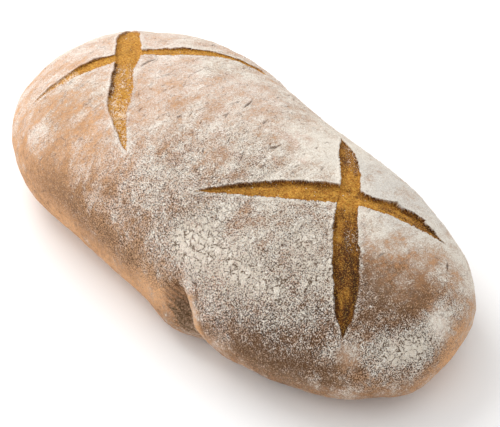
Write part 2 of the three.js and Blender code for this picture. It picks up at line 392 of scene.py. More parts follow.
def fine_cracks():
    """Seeded hairline cracks: the crust tears across the loaf as it stretches along."""
    draw = np.random.default_rng(5)
    lines = []
    for centre, spread, count in CRACK_CROWDS:
        for _ in range(count):
            middle = np.array(centre) + draw.normal(0, 1, 2) * spread
            angle = math.radians(draw.normal(*CRACK_DIRECTION))
            reach = draw.uniform(*CRACK_HALF_LENGTH)
            along = np.array([math.cos(angle), math.sin(angle)])
            bend = np.array([-along[1], along[0]]) * draw.normal(0, CRACK_BEND)
            half = draw.uniform(*CRACK_HALF_WIDTH)
            start = (*(middle - along * reach), 0)
            end = (*(middle + along * reach), 0)
            lines.append(Line(spline([start, (*(middle + bend), half), end], 6)))
    return lines


CRACKS = plain_tears() + fine_cracks()


class SizeMap:
    """Longest edge of the mesh over the plan, read from a fine grid."""

    STEP = 0.5
    LOW = np.array([-175.0, -95.0])
    HIGH = np.array([170.0, 95.0])

    def __init__(self):
        count = ((self.HIGH - self.LOW) / self.STEP).astype(int) + 1
        x, y = (low + self.STEP * np.arange(n) for low, n in zip(self.LOW, count))
        xy = np.stack(np.meshgrid(x, y, indexing="ij"), axis=2).reshape(-1, 2)
        limit = np.full(len(xy), EDGE_CRUST)
        for score in SCORES:
            part = score.near(xy, SCORE_MARGIN)
            inside = score.inside(score.locate(xy[part]))
            near = np.where(inside > -REACH_BESIDE_SCORE, EDGE_BESIDE_SCORE, EDGE_CRUST)
            near[inside > 0] = EDGE_CRUMB
            near[np.abs(inside) < REACH_RIM] = EDGE_RIM
            limit[part] = np.minimum(limit[part], near)
        for crack in CRACKS:
            part = crack.near(xy, CRACK_MARGIN)
            distance = crack.locate(xy[part])[:, 2]
            near = np.where(distance < REACH_BESIDE_CRACK, EDGE_BESIDE_CRACK, EDGE_CRUST)
            near[distance < REACH_CRACK] = EDGE_CRACK
            limit[part] = np.minimum(limit[part], near)
        self.grid = limit.reshape(count)

    def read(self, xy):
        i, j = (((xy - self.LOW) / self.STEP).round().astype(int)).T
        return self.grid[i.clip(0, self.grid.shape[0] - 1), j.clip(0, self.grid.shape[1] - 1)]


def longest_edge(p, size_map):
    """The longest edge that the loaf's mesh may have near a point."""
    longest = np.full(len(p), EDGE_CRUST)
    top = p[:, 2] > TOP_FROM
    longest[top] = size_map.read(p[top, :2])
    longest[~top & (p[:, 1] - p[:, 0] / 2 > FAR_SIDE_FROM)] = EDGE_FAR_SIDE
    longest[np.linalg.norm(p - FOLD_MIDDLE, axis=1) < FOLD_REACH] = EDGE_FOLD
    longest[p[:, 2] < 0.01] = EDGE_BASE
    return longest


def icosahedron():
    golden = (1 + 5**0.5) / 2
    corners = []
    for a in (-1, 1):
        for b in (-golden, golden):
            corners += [(0, a, b), (a, b, 0), (b, 0, a)]
    edge = 2 / (1 + golden**2) ** 0.5
    corners = unit(np.array(corners, float))
    faces = []
    for i, j, k in itertools.combinations(range(len(corners)), 3):
        a, b, c = corners[[i, j, k]]
        longest = max(np.linalg.norm(a - b), np.linalg.norm(b - c), np.linalg.norm(c - a))
        if longest < 1.01 * edge:
            outward = np.dot(np.cross(b - a, c - a), a) > 0
            faces.append((i, j, k) if outward else (i, k, j))
    return corners, np.array(faces)


def stacked(*trios):
    return [np.stack(trio, axis=1) for trio in trios]


def turned(rows, start):
    """Columns of the rows of three, each turned to begin at its start."""
    return np.take_along_axis(rows, (start[:, None] + np.arange(3)) % 3, axis=1).T


def split_edges(directions, points, faces, size_map):
    """Puts a point in the middle of each edge that is too long, and splits the faces to match."""
    pairs = np.sort(faces[:, [[0, 1], [1, 2], [2, 0]]].reshape(-1, 2), axis=1)
    key = pairs[:, 0].astype(np.int64) * len(directions) + pairs[:, 1]
    _, first, which = np.unique(key, return_index=True, return_inverse=True)
    edges = pairs[first]
    ends = points[edges]
    length = np.linalg.norm(ends[:, 0] - ends[:, 1], axis=1)
    split = length > longest_edge(ends.mean(axis=1), size_map)
    number = np.full(len(edges), -1)
    number[split] = len(directions) + np.arange(split.sum())
    middle = unit(directions[edges[split]].sum(axis=1))
    new = number[which].reshape(-1, 3)
    count = (new >= 0).sum(axis=1)
    parts = [faces[count == 0]]
    a, b, c = faces[count == 3].T
    ab, bc, ca = new[count == 3].T
    parts += stacked((a, ab, ca), (ab, b, bc), (ca, bc, c), (ab, bc, ca))
    start = np.argmax(new[count == 1] >= 0, axis=1)
    a, b, c = turned(faces[count == 1], start)
    ab = turned(new[count == 1], start)[0]
    parts += stacked((a, ab, c), (ab, b, c))
    start = np.argmin(new[count == 2] >= 0, axis=1) + 1
    a, b, c = turned(faces[count == 2], start)
    ab, bc, _ = turned(new[count == 2], start)
    parts += stacked((ab, b, bc), (a, ab, bc), (a, bc, c))
    directions = np.vstack([directions, middle])
    points = np.vstack([points, crust_points(middle)])
    return directions, points, np.vstack(parts)


def smooth_crust():
    """The crust before it is cut and torn: points and faces, fine where detail will be."""
    size_map = SizeMap()
    directions, faces = icosahedron()
    points = crust_points(directions)
    for _ in range(REFINE_PASSES):
        directions, points, faces = split_edges(directions, points, faces, size_map)
    return points, faces


def face_normals(points, faces):
    """Normals of the faces, each as long as twice its area."""
    corners = points[faces]
    return np.cross(corners[:, 1] - corners[:, 0], corners[:, 2] - corners[:, 0])


def vertex_normals(points, faces):
    across = face_normals(points, faces)
    total = np.zeros_like(points)
    for k in range(3):
        for axis in range(3):
            total[:, axis] += np.bincount(faces[:, k], across[:, axis], len(points))
    return unit(total)


class Cut:
    """What the scores do at each point of the crust."""

    FAR_OUTSIDE = -99.0

    def __init__(self, points, normals):
        count = len(points)
        self.inside = np.full(count, self.FAR_OUTSIDE)
        self.which = np.full(count, -1)
        self.left = np.zeros((count, 2))
        self.depth, self.arc, self.side, self.half, self.torn = np.zeros((5, count))
        for number, score in enumerate(SCORES):
            self.add(number, score, points, normals)

    def add(self, number, score, points, normals):
        near = score.near(points[:, :2], SCORE_MARGIN)
        near = near[normals[near, 2] > LEAST_UP]
        located = score.locate(points[near, :2])
        inside = score.inside(located)
        arc, side, distance, half = located.T
        full = score.depth * np.sqrt(half / score.widest)
        foot = SCORE_FOOT * half + LEAST_FOOT
        middle = 1 - np.clip(distance / np.maximum(half, 0.1), 0, 1) ** 2
        depth = full * smooth(0, 1, inside / foot) * (1 - SCORE_CROWN * middle)
        self.depth[near] = np.maximum(self.depth[near], depth)
        deeper = inside > self.inside[near]
        index = near[deeper]
        self.inside[index] = inside[deeper]
        self.which[index] = number
        self.arc[index] = arc[deeper]
        self.side[index] = side[deeper]
        self.half[index] = half[deeper]
        nearest = np.searchsorted(score.arc, arc[deeper]).clip(0, len(score.arc) - 1)
        self.left[index] = score.left[nearest]

    def inward(self, distance):
        """Steps in plan towards the middle line of the score."""
        return -self.left * (np.sign(self.side) * distance)[:, None]

    def stretched(self, along, across):
        """Places for noise that is drawn out along each score or across it."""
        return np.column_stack([self.arc / along, self.side / across, self.which * SCORE_SEED_GAP])

    def width_share(self, full_from):
        """1 where half the width of the score is at least that, less towards its tips."""
        return np.clip(self.half / full_from, 0, 1)


class Fold:
    """Where each point lies in the fold: over its edge, along it, and how much it belongs to it."""

    def __init__(self, points, normals):
        away = points - FOLD_MIDDLE
        over = away @ FOLD_OVER
        self.along = away @ FOLD_ALONG
        side = (normals[:, 1] < FOLD_FACING) * (np.abs(over) < FOLD_HALF_WIDTH)
        self.here = hump(self.along, 0, FOLD_HALF_LENGTH) * side
        self.over = over + layers(points, FOLD_WOBBLE)
        self.across_streaks = STREAK_COSINE * self.over - STREAK_SINE * self.along
        self.along_streaks = STREAK_SINE * self.over + STREAK_COSINE * self.along

    def seam(self, half_width):
        return self.here * hump(self.over + SEAM_LEAN * self.along, SEAM_AT, half_width)

    def relief(self):
        """Rise of the roll, and depth of the pocket and the seam, with wrinkles in the pocket."""
        pocket = hump(self.over, POCKET_AT, POCKET_REACH) * smooth(0.4, -1.2, self.over)
        wrinkled = smooth(0, -3, self.over) * smooth(-18, -10, self.over)
        relief = ROLL_RISE * hump(self.over, ROLL_AT, ROLL_REACH) - POCKET_DEPTH * pocket
        relief += WRINKLE_HEIGHT * np.sin(WRINKLE_TURN * self.across_streaks) * wrinkled
        return self.here * relief - SEAM_DEPTH * self.seam(1)


def flap_share(points):
    """1 on the flap of torn crust, falling to 0 around it."""
    distance = np.linalg.norm(points[:, :2] - FLAP_AT, axis=1)
    return hump(distance, 0, FLAP_REACH) * (points[:, 2] > SHOULDER_HEIGHT)


def snap_to_outline(points, normals, cut):
    """Moves the points nearest to the torn outline onto it, so that the edge is sharp."""
    rim = np.abs(cut.inside) < SNAP_REACH
    step = -cut.inward(cut.inside)
    climb = -(normals[:, :2] * step).sum(axis=1) / np.maximum(normals[:, 2], LEAST_UP)
    cut.inside[rim] = 0
    cut.depth[rim] = 0
    return points + np.where(rim[:, None], np.column_stack([step, climb]), 0)


def crumb_relief(points, cut, combed):
    """Roughness of the crumb, which settles in from the walls."""
    settled = smooth(0.2, 2.0, cut.inside) * cut.width_share(3)
    return settled * (layers(points, CRUMB_LUMPS) + layers(combed, CRUMB_STRANDS))


def lip_relief(cut, combed):
    """Curled edge of the crust beside the scores."""
    rise = LIP_RISE * (1 + layers(combed, LIP_UNEVENNESS)) * cut.width_share(4)
    return rise * np.exp(np.minimum(cut.inside, 0) / LIP_REACH)


def crack_relief(points, normals, cut):
    """Depth of the tears and cracks, with the crust slightly raised beside them."""
    relief = np.zeros(len(points))
    for crack in CRACKS:
        near = crack.near(points[:, :2], CRACK_MARGIN)
        near = near[(normals[near, 2] > CRACK_LEAST_UP) & (cut.inside[near] < -CRACK_GAP)]
        distance, half = crack.locate(points[near, :2]).T[2:]
        share = np.sqrt(half / TEAR_HALF_WIDTH) * hump(distance, 0, np.maximum(half, LEAST_TEAR))
        lip = TEAR_LIP * hump(distance, TEAR_LIP_AT, TEAR_LIP_REACH) * (half > LEAST_TEAR)
        relief[near] += lip - TEAR_DEPTH * share
        cut.torn[near] = np.maximum(cut.torn[near], share)
    return relief


def cut_and_tear(points, faces):
    """Carves the scores, tears and fold into the smooth crust."""
    normals = vertex_normals(points, faces)
    cut = Cut(points, normals)
    points = snap_to_outline(points, normals, cut)
    in_score = cut.inside > 0

    combed = cut.stretched(along=0.9, across=5)
    of_crumb = crumb_relief(points, cut, combed) - cut.depth
    of_crust = lip_relief(cut, combed) + FLAP_HEIGHT * flap_share(points)
    of_crust += layers(points, CRUST_LUMPS) * smooth(0, LUMPS_FULL_FROM, points[:, 2]) - cut.depth
    relief = np.where(in_score, of_crumb, of_crust)
    relief += crack_relief(points, normals, cut)
    relief += Fold(points, normals).relief()
    points = points + normals * relief[:, None]

    # The edge overhangs the wall under it
    under = WALL_TUCK * hump(cut.inside, WALL_TUCK_BELOW, WALL_TUCK_REACH)
    tuck = np.where(cut.inside == 0, RIM_TUCK, 0) - np.where(in_score, under, 0)
    points[:, :2] += cut.inward(tuck * cut.width_share(3))
    points[:, 2] = np.maximum(points[:, 2], 0)
    return points, cut, in_score


# Soft round patches: place, reach and how much more or less there is, here of flour
FLOUR_PATCHES = [
    # far half
    ((-155, 0, 50), 30, 0.3), ((-148, -17, 59), 18, -0.4), ((-110, -60, 57), 9, 0.9),
    ((-110, -75, 40), 30, -0.3), ((-108, -43, 69), 34, -0.2), ((-88, -67, 58), 26, -0.18),
    ((-75, -77, 40), 42, -0.5), ((-70, 50, 75), 26, 0.12),
    # middle
    ((-51, -1, 85), 26, -0.15), ((-50, -42, 79), 9, 0.25), ((-40, -72, 58), 5, 0.3),
    ((-20, -82, 33), 34, -0.5), ((-20, -45, 80), 38, -0.15), ((-13, -45, 80), 11, 0.3),
    # (6, -83, 30) puts more flour on the flank by the fold to make it paler: painted light against its
    # shade
    ((-9, -63, 72), 6, 0.3), ((-5, 5, 86), 13, 0.2), ((6, -83, 30), 13, 0.3),
    ((6, -27, 84), 20, -0.1), ((12, -83, 28), 20, -0.55), ((22, -68, 69), 11, 0.5),
    ((31, -40, 82), 11, -0.2), ((36, -67, 69), 12, 0.4), ((38, 35, 80), 22, 0.35),
    # near half
    ((60, -84, 26), 24, -0.1), ((61, -64, 69), 12, 0.2), ((62, -82, 48), 14, 0.15),
    ((80, -29, 78), 16, 0.4), ((80, 46, 67), 30, 0.3), ((82, -62, 67), 12, 0.08),
    ((88, -79, 24), 26, -0.45), ((96, 8, 76), 13, 0.1), ((98, -65, 57), 10, 0.25),
    ((102, -41, 70), 10, 0.35), ((112, 15, 69), 11, -0.2), ((114, -71, 22), 34, -0.15),
    ((120, -66, 45), 24, -0.15),
    # near end
    ((130, -20, 64), 31, -0.66), ((132, -40, 60), 14, 0.15), ((132, 18, 60), 12, -0.2),
    ((134, -47, 56), 9, -0.2), ((138, 3, 58), 13, -0.15), ((143, -55, 39), 5, -0.3),
    ((147, -36, 46), 12, 0.5), ((150, -52, 18), 18, -0.3), ((150, -3, 49), 10, 0.45),
    ((151, -22, 42), 11, 0.2), ((152, -24, 47), 10, 0.4), ((153, -2, 46), 7, 0.3),
    ((157, -33, 38), 5, -0.1), ((157, 4, 24), 22, -0.3), ((157, 13, 40), 13, -0.18),
]
# How dark the crust is baked, with painted shade in the hollow of the fold and painted light on the
# flank beside it
DARK_PATCHES = [
    # (-25, -80, 38) and (14, -83, 39) make the flank by the fold paler, painted light against its
    # shade; (38, -84, 22) is painted shade in the hollow
    ((-75, -77, 40), 45, -0.12), ((-25, -80, 38), 26, -0.15), ((14, -83, 39), 18, -0.8),
    ((20, -81, 20), 12, 0.3), ((38, -84, 22), 9, 0.5), ((60, -84, 34), 28, 0.15),
    ((96, -76, 32), 46, 0.5), ((120, -66, 47), 24, 0.2), ((127, -18, 65), 27, 0.58),
    ((146, -50, 38), 16, -0.4), ((150, -50, 18), 22, 0.3), ((156, 4, 26), 19, -0.5),
]
# How coarse the flour lies
SPECKLE_PATCHES = [
    ((-60, -78, 35), 45, 0.3), ((6, -83, 30), 13, -0.35), ((6, -27, 84), 20, -0.3),
    ((33, -85, 33), 17, -0.8), ((48, -39, 81), 24, -0.4), ((50, 30, 80), 26, -0.3),
    ((62, 47, 71), 26, -0.4), ((100, 45, 66), 26, -0.5), ((104, 4, 74), 14, -0.5),
    ((128, -14, 66), 24, -0.4), ((135, -55, 49), 13, -0.7), ((146, 4, 52), 20, 0.25),
    ((148, -34, 48), 16, 0.5), ((153, -2, 46), 10, -0.7), ((154, -12, 28), 20, 0.22),
]
# How creamy the flour is: 0 is pink, 1 is cream, and more is grey
CREAM_PATCHES = [
    ((-108, -43, 69), 34, 0.5), ((-70, 50, 75), 30, 0.5), ((50, -80, 52), 28, -0.6),
    ((80, 50, 65), 40, 0.9),
]
FLOUR_EVERYWHERE = 0.34
FLOUR_ON_TOP = 0.28
FLOUR_LOST_FAR = 0.03
FLOUR_LOST_AT_BASE = 0.45
FLOUR_ON_FLAP = 0.6
FLOUR_ON_LIPS = 0.3
FLOUR_UNEVENNESS = [(0.12, 34, 41), (0.1, 13, 42)]
BAKED_EVERYWHERE = 0.3
BAKED_UNEVENNESS = [(0.15, 24, 43)]
LEAST_SPECKLE = 0.22
CREAM_EVERYWHERE = 0.15
CREAM_TOWARDS_NEAR_END = 0.6
CREAM_UNEVENNESS = [(0.25, 20, 44)]

# How burnt the crumb of each score is
BURNT_EVENLY = np.array([0.08, 0.2, 0, 0])
# How burnt it grows along a score: score, where that starts and ends, and amount
BURNT_STRETCHES = [
    (NEAR_LONG, 88, 108, 0.26),
    (NEAR_CROSS, 48, 28, 0.6),
    (NEAR_CROSS, 62, 80, 0.4),
    (NEAR_CROSS, 100, 116, 0.2),
    (NEAR_CROSS, 122, 136, 0.3),
]
# Loose flour on the crumb: score, start and end of the stretch, and amount
DUSTED_STRETCHES = [
    (NEAR_CROSS, 8, 36, 0.25),
    (NEAR_CROSS, 84, 99, 0.2),
    (FAR_CROSS, 66, 102, 0.28),
    (FAR_CROSS, 100, 146, 0.7),
    (FAR_LONG, 0, 30, 0.9),
]


def stretch(place, start, end, soft=4):
    """1 from start to end of a stretch, with soft ends."""
    return smooth(start - soft, start + soft, place) * smooth(end + soft, end - soft, place)


def flour_map(points, normals, cut):
    flour = FLOUR_EVERYWHERE + FLOUR_ON_TOP * smooth(-0.1, 0.75, normals[:, 2])
    flour += layers(points, FLOUR_UNEVENNESS) + patchwork(points, FLOUR_PATCHES)
    flour -= FLOUR_LOST_FAR * smooth(0, -80, points[:, 0])
    flour -= FLOUR_LOST_AT_BASE * smooth(14, 0, points[:, 2])
    return flour + FLOUR_ON_FLAP * flap_share(points) + FLOUR_ON_LIPS * hump(cut.inside, -0.9, 0.9)


def speckle_map(points, ridge):
    """Coarser towards the near end and the side of the fold, smoother low down and on the ridge."""
    speckle = smooth(-70, 30, points[:, 0]) * smooth(40, -50, points[:, 1])
    speckle = LEAST_SPECKLE + (1 - LEAST_SPECKLE) * speckle
    speckle = np.clip(speckle + patchwork(points, SPECKLE_PATCHES), 0, 1)
    return speckle * (0.3 + 0.7 * smooth(18, 46, points[:, 2])) * (1 - 0.8 * ridge)


def cream_map(points):
    cream = CREAM_EVERYWHERE + CREAM_TOWARDS_NEAR_END * smooth(-80, 40, points[:, 0])
    return cream + layers(points, CREAM_UNEVENNESS) + patchwork(points, CREAM_PATCHES)


def char_and_shade_map(cut, in_score, lateral):
    """How dark the crumb is, from 0 for gold to more than 1 for nearly black: burnt, and painted shade
    on the wall of one side.
    """
    place = cut.arc
    low_far = (cut.which == FAR_CROSS) * stretch(place, 60, 100)
    # Painted shade on the wall of one side of each score, wider and darker on the low arm of the far
    # cross
    painted_shade_side = np.array([score.painted_shade_side for score in SCORES])[cut.which] * np.sign(cut.side)
    char_and_shade = (0.75 + 0.7 * low_far) * hump(cut.inside, 0, 0.8 + 0.9 * low_far) * (painted_shade_side > 0)
    char_and_shade += BURNT_EVENLY[cut.which] + 0.25 * low_far
    for score, start, end, amount in BURNT_STRETCHES:
        char_and_shade += amount * smooth(start, end, place) * (cut.which == score)
    left_dark = smooth(62, 80, place) * smooth(76, 90, place) * smooth(134, 116, place)
    left_dark *= smooth(-0.75, 0.1, lateral)
    char_and_shade += 0.45 * left_dark * (cut.which == NEAR_CROSS)
    char_and_shade += 0.25 * smooth(-0.2, 0.9, lateral) * (cut.which == NEAR_LONG)
    return char_and_shade * in_score


def dust_map(cut, lateral):
    dust = np.zeros(len(cut.arc))
    for score, start, end, amount in DUSTED_STRETCHES:
        dust = np.maximum(dust, amount * stretch(cut.arc, start, end) * (cut.which == score))
    return dust * np.where(cut.which == NEAR_CROSS, smooth(-0.3, 0.5, lateral), 1)


def finish_maps(points, normals, cut, in_score):
    """Slowly changing amounts over the surface that the material turns into colour."""
    fold = Fold(points, normals)
    ridge = fold.here * hump(fold.over, RIDGE_AT, RIDGE_REACH)
    seam = fold.seam(1.1)
    hollow = fold.here * hump(fold.over, HOLLOW_AT, HOLLOW_REACH, power=4)
    streaked = np.zeros_like(points)
    streaked[:, 0] = fold.across_streaks / STREAK_SIZES[0]
    streaked[:, 1] = fold.along_streaks / STREAK_SIZES[1]
    streaks = grain(streaked, 1, 45)
    flour = flour_map(points, normals, cut)
    # Painted highlight on the ridge of the roll, and painted shade in the seam behind it and in the
    # hollow under it
    flour -= 0.25 * ridge + 0.3 * seam + (0.8 - 0.5 * streaks) * hollow
    bake = BAKED_EVERYWHERE + patchwork(points, DARK_PATCHES) + layers(points, BAKED_UNEVENNESS)
    bake += (1 - 0.8 * streaks) * hollow - 0.9 * ridge + 0.6 * seam
    lateral = cut.side / np.maximum(cut.half, 0.5)
    return {
        "flour": flour,
        "bake": bake,
        "speckle": speckle_map(points, ridge),
        "cream": cream_map(points),
        "crumb": in_score.astype(float),
        "char_and_shade": char_and_shade_map(cut, in_score, lateral),
        "dust": dust_map(cut, lateral),
        "fibre": grain(cut.stretched(along=9, across=1.8), 1, 46),
        "crack": cut.torn,
    }


# Grains of flour: their number, and the octahedron that each one is, flatter below than above
GRAIN_COUNT = 20000
GRAIN_RADIUS = (0.2, 0.5)
GRAIN_UNEVENNESS = (0.7, 1.3)
# How often grains lie on smooth flour and on the crumb, compared with coarse flour
GRAINS_ON_SMOOTH = 0.12
GRAINS_ON_CRUMB = 0.05
GRAINS_LEAST_UP = -0.1
GRAIN_CORNERS = np.array([(1, 0, 0), (0, 1, 0), (-1, 0, 0), (0, -1, 0), (0, 0, 0.7), (0, 0, -0.5)])
GRAIN_FACES = np.array(
    [(0, 1, 4), (1, 2, 4), (2, 3, 4), (3, 0, 4), (1, 0, 5), (2, 1, 5), (3, 2, 5), (0, 3, 5)]
)


def grain_weights(points, faces, normals, maps):
    """How likely a grain of flour lies on each face: more where the flour is thick and coarse."""
    area = np.linalg.norm(face_normals(points, faces), axis=1)
    flour = maps["flour"][faces].mean(axis=1)
    speckle = maps["speckle"][faces].mean(axis=1)
    crumb = maps["crumb"][faces].max(axis=1)
    weight = area * smooth(0.4, 1, flour) * (GRAINS_ON_SMOOTH + speckle)
    weight *= np.where(crumb > 0, GRAINS_ON_CRUMB, 1)
    weight *= normals[faces].mean(axis=1)[:, 2] > GRAINS_LEAST_UP
    return weight / weight.sum()


def flour_grains(points, faces, normals, maps):
    """Joined little clumps of flour, lying on the crust where the flour is coarse."""
    draw = np.random.default_rng(77)
    chosen = draw.choice(len(faces), GRAIN_COUNT, p=grain_weights(points, faces, normals, maps))
    share = draw.dirichlet((1, 1, 1), GRAIN_COUNT)[:, :, None]
    place = (points[faces[chosen]] * share).sum(axis=1)
    up = unit((normals[faces[chosen]] * share).sum(axis=1))
    side = unit(np.cross(up, unit(draw.normal(0, 1, (GRAIN_COUNT, 3)))))
    ahead = np.cross(up, side)
    smallest, largest = GRAIN_RADIUS
    radius = smallest + (largest - smallest) * draw.random(GRAIN_COUNT) ** 2
    stretched = draw.uniform(*GRAIN_UNEVENNESS, (GRAIN_COUNT, len(GRAIN_CORNERS), 1))
    corners = GRAIN_CORNERS[None] * stretched * radius[:, None, None]
    spun = corners @ np.stack([side, ahead, up], axis=1)
    vertices = (place[:, None] + spun).reshape(-1, 3)
    first = len(GRAIN_CORNERS) * np.arange(GRAIN_COUNT)[:, None, None]
    return vertices, (GRAIN_FACES[None] + first).reshape(-1, 3)


def base_middle(points):
    """The origin of the row's frame: the middle of the loaf's base."""
    middle = (points.min(axis=0) + points.max(axis=0)) / 2
    return np.array([middle[0], middle[1], 0])


def metres(p, origin):
    return (p - origin) / 1000


def link(name, data):
    piece = bpy.data.objects.new(name, data)
    bpy.context.scene.collection.objects.link(piece)
    return piece


def mesh_object(name, vertices, triangles, maps, material):
    mesh = bpy.data.meshes.new(name)
    mesh.from_pydata(vertices, [], triangles)
    mesh.shade_smooth()
    for key, values in maps.items():
        attribute = mesh.attributes.new(key, "FLOAT", "POINT")
        attribute.data.foreach_set("value", values.astype(np.float32))
    mesh.materials.append(material)
    mesh.validate()
    return link(name, mesh)


# Colours, as sRGB levels from 0 to 255
PALE_CRUST = (222, 169, 120)
BROWN_CRUST = (164, 116, 74)
DARK_CRUST = (88, 67, 42)
DULL_PALE_CRUST = (190, 151, 116)
DULL_DARK_CRUST = (124, 90, 58)
WARM_FILM = (212, 175, 147)
GREY_FILM = (184, 155, 132)
PINK_FLOUR = (225, 208, 196)
CREAM_FLOUR = (228, 219, 205)
GREY_FLOUR = (210, 204, 195)
SHADED_FLOUR = (166, 148, 132)
BLUSHED_FLOUR = (196, 158, 138)
CREASE = (124, 98, 82)
FLECK_ON_CRUST = (210, 172, 138)
FLECK_ON_FLOUR = (250, 245, 236)
PALE_PIT = (150, 116, 94)
PIT_IN_CRUST = (96, 66, 42)
PIT_IN_FLOUR = (68, 53, 44)
CLUMP_CRACK = (98, 78, 58)
TEAR = (78, 56, 42)
OCHRE_CRUMB = (172, 108, 32)
GOLD_CRUMB = (214, 160, 66)
# The toasted and burnt crumb colours also give the painted shade on one wall of the scores
TOASTED_AND_SHADED_CRUMB = (102, 56, 12)
BURNT_AND_SHADED_CRUMB = (62, 34, 14)
CRUMB_HOLE_SHADE = (84, 44, 8)
CRUMB_GLINT = (226, 174, 84)
DUST_ON_CRUMB = (230, 203, 175)
LOOSE_FLOUR_DARK = (220, 206, 190)
LOOSE_FLOUR_LIGHT = (236, 228, 214)


def colour(levels):
    """Linear colour of sRGB levels."""
    share = np.array(levels) / 255
    linear = np.where(share <= 0.04045, share / 12.92, ((share + 0.055) / 1.055) ** 2.4)
    return (*linear, 1)


class Graph:
    """Short calls for the nodes of one material."""

    MIX_INPUTS = (0, 6, 7)  # the mix node's factor and its two colours
    MIX_RESULT = 2

    def __init__(self, name):
        self.material = bpy.data.materials.new(name)
        self.material.use_nodes = True
        self.tree = self.material.node_tree
        self.shader = self.tree.nodes["Principled BSDF"]

    def node(self, kind, inputs=(), **settings):
        node = self.tree.nodes.new(kind)
        for key, value in settings.items():
            setattr(node, key, value)
        for key, value in dict(inputs).items():
            self.put(node.inputs[key], value)
        return node

    def put(self, socket, value):
        if isinstance(value, bpy.types.NodeSocket):
            self.tree.links.new(value, socket)
        else:
            socket.default_value = value

    def finish(self, roughness, specular):
        self.shader.inputs["Roughness"].default_value = roughness
        self.shader.inputs["Specular IOR Level"].default_value = specular
        return self.material

    def attribute(self, name):
        return self.node("ShaderNodeAttribute", attribute_name=name).outputs["Fac"]

    def place(self, scale=(1, 1, 1)):
        coordinates = self.node("ShaderNodeTexCoord").outputs["Object"]
        mapping = self.node("ShaderNodeMapping", {"Vector": coordinates, "Scale": scale})
        return mapping.outputs["Vector"]

    def noise(self, millimetres, detail=2.0, roughness=0.5, scale=(1, 1, 1)):
        inputs = {"Vector": self.place(scale), "Scale": 1000 / millimetres}
        inputs.update({"Detail": detail, "Roughness": roughness})
        return self.node("ShaderNodeTexNoise", inputs).outputs["Fac"]

    def cells(self, millimetres, line, bend=3, bend_size=2.5):
        """1 on the thin bent lines between cells of about that size, 0 inside them."""
        inputs = {"Vector": self.place(), "Scale": 1000 / bend_size, "Detail": 1.0}
        bent = self.node("ShaderNodeTexNoise", inputs).outputs["Color"]
        bend = (bend / 1000,) * 3
        place = self.maths("ShaderNodeVectorMath", "MULTIPLY_ADD", bent, bend, self.place())
        inputs = {"Vector": place, "Scale": 1000 / millimetres}
        cells = self.node("ShaderNodeTexVoronoi", inputs, feature="DISTANCE_TO_EDGE")
        return self.step(cells.outputs["Distance"], line / millimetres, 0.3 * line / millimetres)

    def maths(self, kind, operation, *values):
        return self.node(kind, enumerate(values), operation=operation).outputs[0]

    def sum(self, *terms):
        """Sum of (socket, factor) pairs and plain numbers."""
        total = sum((term for term in terms if not isinstance(term, tuple)), 0.0)
        for term in terms:
            if isinstance(term, tuple):
                total = self.maths("ShaderNodeMath", "MULTIPLY_ADD", *term, total)
        return total

    def times(self, product, *factors):
        for factor in factors:
            product = self.maths("ShaderNodeMath", "MULTIPLY", product, factor)
        return product

    def step(self, value, low, high, start=0.0, end=1.0):
        """From start to end as the value goes from low to high, with a soft step between."""
        inputs = {"Value": value, "From Min": low, "From Max": high, "To Min": start, "To Max": end}
        node = self.node("ShaderNodeMapRange", inputs, interpolation_type="SMOOTHSTEP")
        return node.outputs["Result"]

    def mix(self, factor, first, second):
        """From the first colour to the second: each is a socket or sRGB levels."""
        ends = [colour(end) if isinstance(end, tuple) else end for end in (first, second)]
        inputs = zip(self.MIX_INPUTS, (factor, *ends))
        return self.node("ShaderNodeMix", inputs, data_type="RGBA").outputs[self.MIX_RESULT]

    def bump(self, height, millimetres, normal=None):
        inputs = {"Height": height, "Distance": millimetres / 1000, "Strength": 1.0}
        if normal is not None:
            inputs["Normal"] = normal
        return self.node("ShaderNodeBump", inputs).outputs["Normal"]


class CrustGraph(Graph):
    """Material of the loaf, with the maps and noises that its parts share."""

    def __init__(self):
        super().__init__("floured_crust")
        self.bake = self.attribute("bake")
        self.speckle = self.attribute("speckle")
        self.creamy = self.attribute("cream")
        self.fine = self.noise(0.8, 2, 0.6)
        self.other = self.noise(0.75, 2, 0.6, scale=(1.3, 1, 0.9))
        self.medium = self.noise(3.6, 3, 0.6)
        self.blotch = self.noise(14, 3, 0.55, scale=(1.5, 0.8, 1))
        self.streak = self.noise(4.5, 3, 0.6, scale=(2.6, 0.7, 1.1))
        flour = self.attribute("flour")
        self.slow = self.sum((self.medium, 1.1), (self.blotch, 1.8), (flour, 1.0), -1.42)
        self.mask = self.flour_mask()

    def flour_mask(self):
        """1 where the flour covers the crust, with sharper grains where it lies coarse."""
        contrast = self.step(self.speckle, 0, 1, 1.3, 1.9)
        spread = self.sum((self.fine, 1.0), (self.streak, 0.3), -0.65)
        return self.step(self.sum((self.times(spread, contrast), 1.0), (self.slow, 1.0)), 0, 1)


def bare_colour(g):
    """Baked crust under a thin film of flour, which dulls it between the thicker clumps."""
    tone = g.sum((g.bake, 1.0), (g.other, 3.2), (g.streak, 0.9), (g.blotch, 0.5), (g.medium, 1.4), -3.0)
    bare = g.mix(g.step(tone, 0, 0.5), PALE_CRUST, BROWN_CRUST)
    bare = g.mix(g.step(tone, 0.5, 1.1), bare, DARK_CRUST)
    dull = g.mix(g.step(tone, 0.2, 1.1), DULL_PALE_CRUST, DULL_DARK_CRUST)
    bare = g.mix(g.step(g.speckle, 0.2, 1, 0, 0.75), bare, dull)
    film = g.step(g.sum((g.slow, 1.0), (g.other, 0.8), -0.4), -0.2, 0.5, 0, 0.85)
    return g.mix(film, bare, g.mix(g.step(g.creamy, 0.2, 0.8), WARM_FILM, GREY_FILM))


